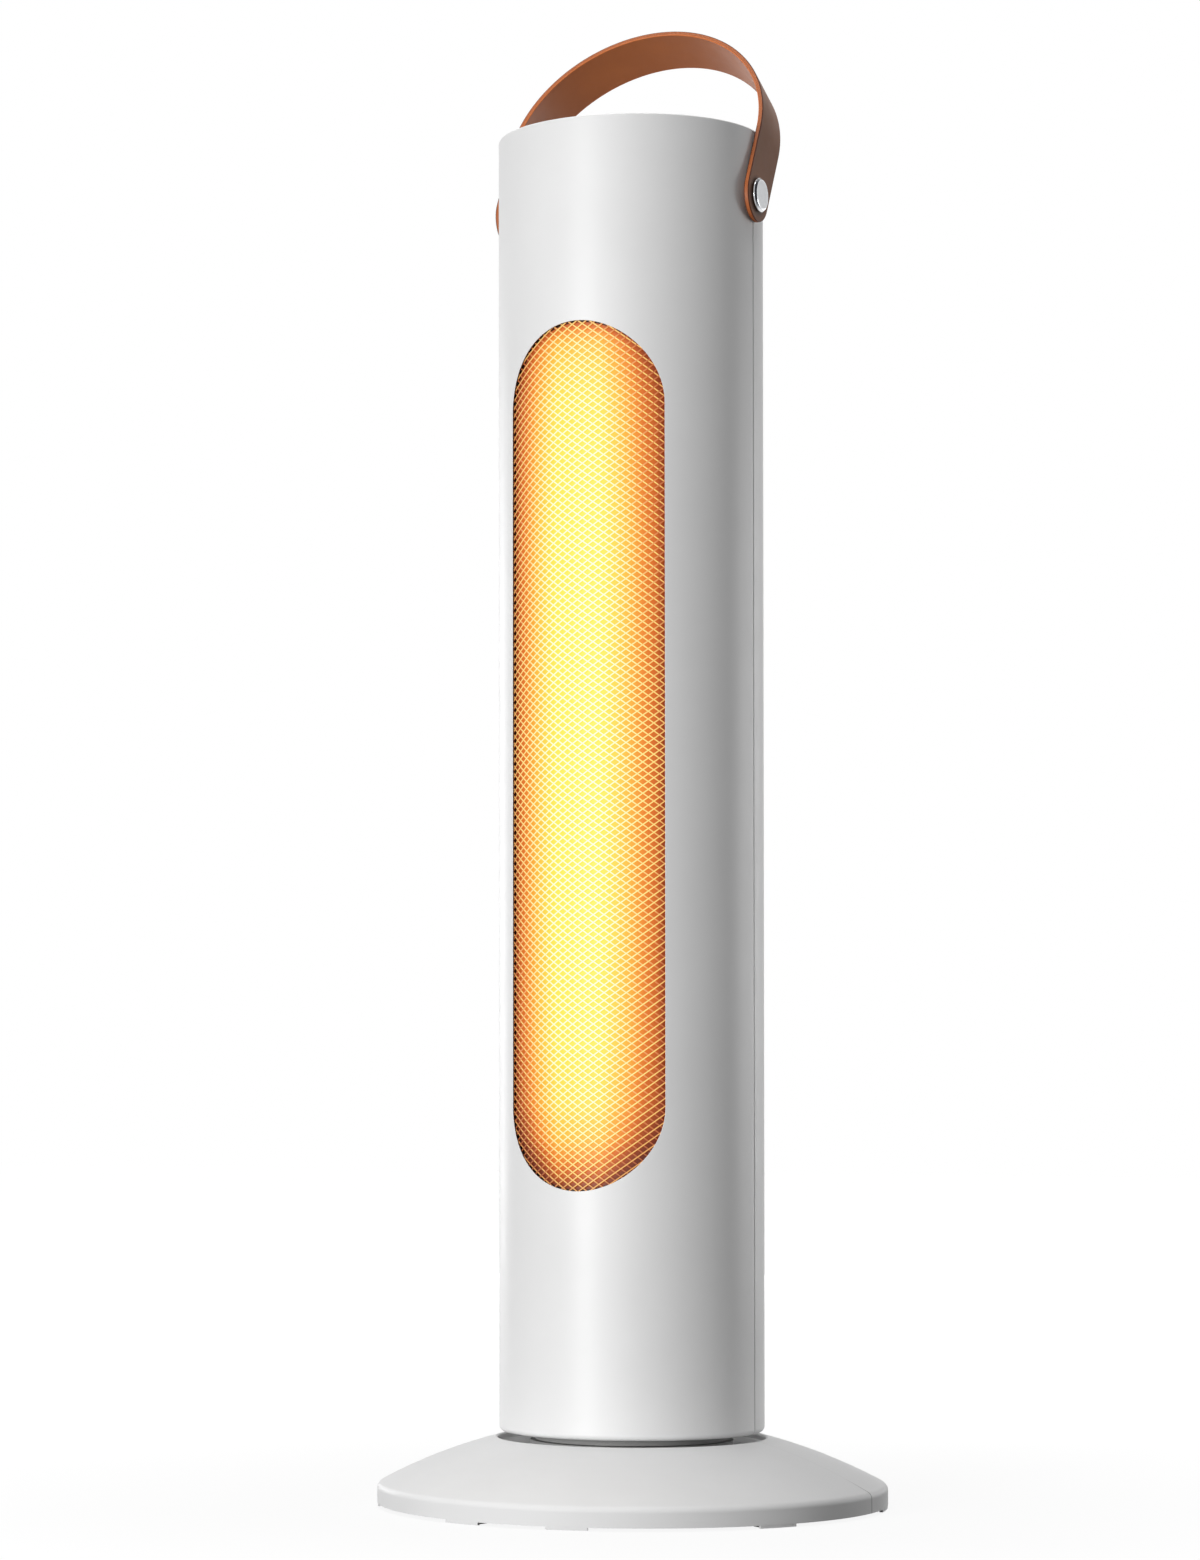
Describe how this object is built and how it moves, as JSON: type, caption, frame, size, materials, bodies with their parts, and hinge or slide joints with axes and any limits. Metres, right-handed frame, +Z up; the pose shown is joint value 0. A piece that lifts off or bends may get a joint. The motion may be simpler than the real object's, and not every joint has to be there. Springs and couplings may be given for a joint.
{
  "type": "space heater",
  "caption": "Slim round tower heater with a tall mesh window, swinging on a low domed base, with a leather strap handle.",
  "frame": {"origin": "on the floor under the middle of the base, on the axis that the tower swings about", "axes": "+Z up, the window faces -Y, the handle's pivots lie along X"},
  "size_m": [0.221, 0.221, 0.6485],
  "materials": {
    "shell_white": "satin moulded plastic",
    "base_white": "satin moulded plastic",
    "base_black": "textured black plastic",
    "floor_plastic": "white moulded plastic",
    "pad_rubber": "dark grey rubber",
    "ballast_iron": "cast iron",
    "screw_steel": "plated steel",
    "spindle_steel": "turned steel",
    "gear_plastic": "natural nylon",
    "gland_plastic": "black flexible plastic",
    "bush_brass": "bearing bronze",
    "cord_black": "black cord sheath",
    "motor_steel": "plated steel can",
    "grille_wire": "fine steel mesh in the glow of the element",
    "frame_black": "black painted steel",
    "screen_glass": "frosted quartz glass, lit from behind by the element",
    "chassis_steel": "zinc-plated sheet steel",
    "reflector_foil": "polished reflector in the glow of the element",
    "holder_ceramic": "white steatite",
    "tube_quartz": "clear quartz",
    "filament_carbon": "glowing carbon strand",
    "part_black": "black moulding",
    "terminal_white": "natural nylon",
    "board_green": "green circuit board",
    "component_blue": "moulded parts on the board",
    "lens_red": "clear red lens",
    "rivet_steel": "satin steel with a polished bevel",
    "button_white": "white plastic",
    "strap_leather": "brown bridle leather with natural edges"
  },
  "bodies": {
    "base": {"base_cover": "base_white", "base_plate": "base_black", "ballast_weight": "ballast_iron", "rubber_feet": "pad_rubber", "base_screws": "screw_steel", "swivel_spindle": "spindle_steel", "spindle_screws": "screw_steel", "fixed_gear": "gear_plastic", "spindle_nut": "spindle_steel", "thrust_ring": "gear_plastic", "cord_gland": "gland_plastic", "base_lead": "cord_black"},
    "tower": {"front_shell": "shell_white", "rear_shell": "shell_white", "top_cap": "shell_white", "tower_floor": "floor_plastic", "motor_screws": "screw_steel", "shell_screws": "screw_steel", "chassis_screws": "screw_steel", "board_screws": "screw_steel", "swivel_bush": "bush_brass", "tower_lead": "cord_black", "wire_loom": "cord_black", "swing_motor": "motor_steel", "grille": "grille_wire", "grille_frame": "frame_black", "glow_screen": "screen_glass", "chassis": "chassis_steel", "lower_tube_bracket": "chassis_steel", "upper_tube_bracket": "chassis_steel", "handle_brackets": "chassis_steel", "reflector": "reflector_foil", "tube_end_caps": "holder_ceramic", "quartz_tube": "tube_quartz", "carbon_filament": "filament_carbon", "thermal_cutout": "part_black", "tilt_switch": "part_black", "tact_switches": "part_black", "terminal_block": "terminal_white", "board_spacers": "terminal_white", "power_board": "board_green", "control_board": "board_green", "board_components": "component_blue", "indicator_lens": "lens_red", "handle_rivets": "rivet_steel"},
    "pinion": {"drive_pinion": "gear_plastic", "motor_shaft": "spindle_steel"},
    "power_button": {"power_button": "button_white"},
    "heat_button": {"heat_button": "button_white"},
    "swing_button": {"swing_button": "button_white"},
    "handle": {"handle_strap": "strap_leather"}
  },
  "joints": [
    {"name": "tower_swing", "type": "hinge", "parent": "base", "child": "tower", "pos_m": [0, 0, 0.03], "axis": [0, 0, 1], "range_deg": [-35, 35]},
    {"name": "pinion_spin", "type": "hinge", "parent": "tower", "child": "pinion", "pos_m": [0, 0.02912, 0.048], "axis": [0, 0, 1], "range_deg": [-78, 78]},
    {"name": "handle_fold", "type": "hinge", "parent": "tower", "child": "handle", "pos_m": [0, 0, 0.56454], "axis": [1, 0, 0], "range_deg": [-92.8, 147.2]},
    {"name": "power_button_press", "type": "slide", "parent": "tower", "child": "power_button", "axis": [0, 0, -1], "range_m": [0, 0.0012], "stiffness_N_per_m": 300, "springref_m": -0.001},
    {"name": "heat_button_press", "type": "slide", "parent": "tower", "child": "heat_button", "axis": [0, 0, -1], "range_m": [0, 0.0012], "stiffness_N_per_m": 300, "springref_m": -0.001},
    {"name": "swing_button_press", "type": "slide", "parent": "tower", "child": "swing_button", "axis": [0, 0, -1], "range_m": [0, 0.0012], "stiffness_N_per_m": 300, "springref_m": -0.001}
  ],
  "couplings": [
    {"joint": "pinion_spin", "follows": "tower_swing", "ratio": 2.2222}
  ]
}
